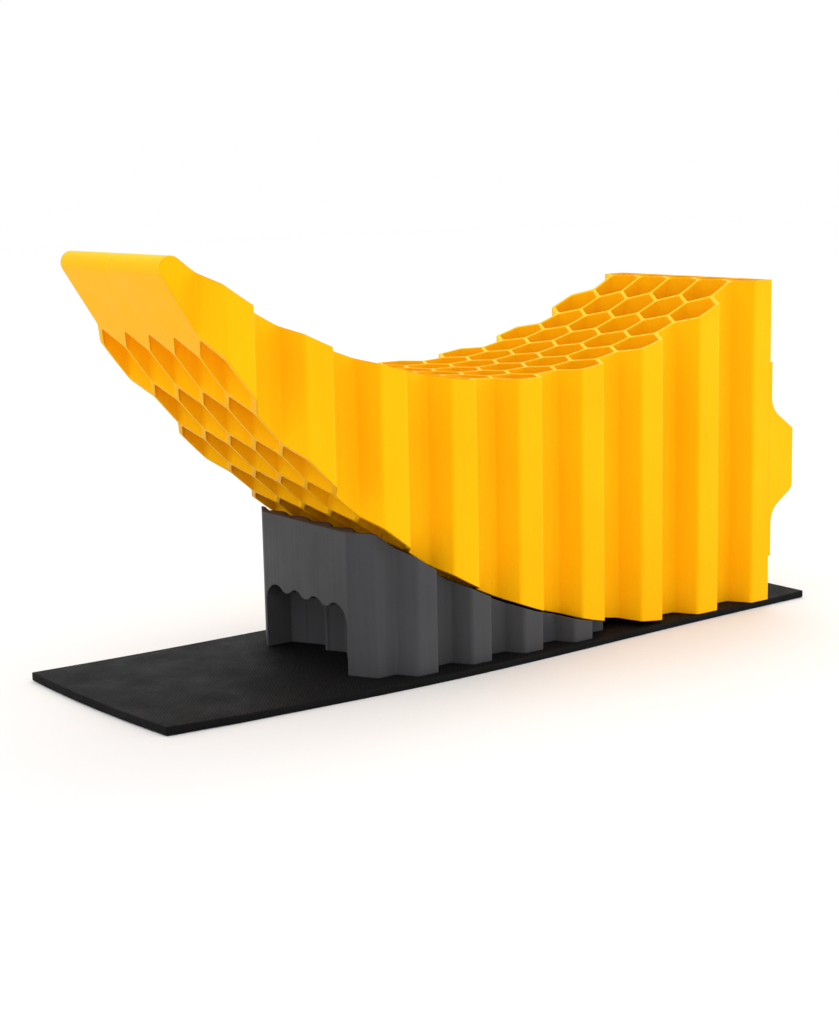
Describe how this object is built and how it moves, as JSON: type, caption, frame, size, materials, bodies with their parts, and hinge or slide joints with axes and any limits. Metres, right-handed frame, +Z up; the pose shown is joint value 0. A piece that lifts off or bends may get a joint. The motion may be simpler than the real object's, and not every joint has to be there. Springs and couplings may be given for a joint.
{
  "type": "ramp leveler",
  "caption": "Curved honeycomb tyre leveler wedged by a matching chock on a rubber mat, to raise and hold one trailer or caravan wheel.",
  "frame": {"origin": "middle of the mat's underside, which is the lowest face of the whole part", "axes": "+X along the length from the low lip end to the tall heel, +Y across the width, +Z up"},
  "size_m": [0.48, 0.152, 0.2449],
  "materials": {
    "leveler_plastic": "satin moulded polypropylene, warm yellow",
    "chock_plastic": "satin moulded polypropylene, dark grey",
    "mat_rubber": "matt black rubber with a fine ribbed weave"
  },
  "bodies": {
    "mat": {"mat": "mat_rubber"},
    "leveler": {"leveler": "leveler_plastic"},
    "chock": {"chock": "chock_plastic"}
  },
  "joints": [
    {"name": "leveler_rock", "type": "hinge", "parent": "mat", "child": "leveler", "pos_m": [0.1423, -0.004, 0.38295], "axis": [0, -1, 0], "range_deg": [0, 11]},
    {"name": "chock_slide", "type": "slide", "parent": "mat", "child": "chock", "axis": [-1, 0, 0], "range_m": [0, 0.13]}
  ]
}
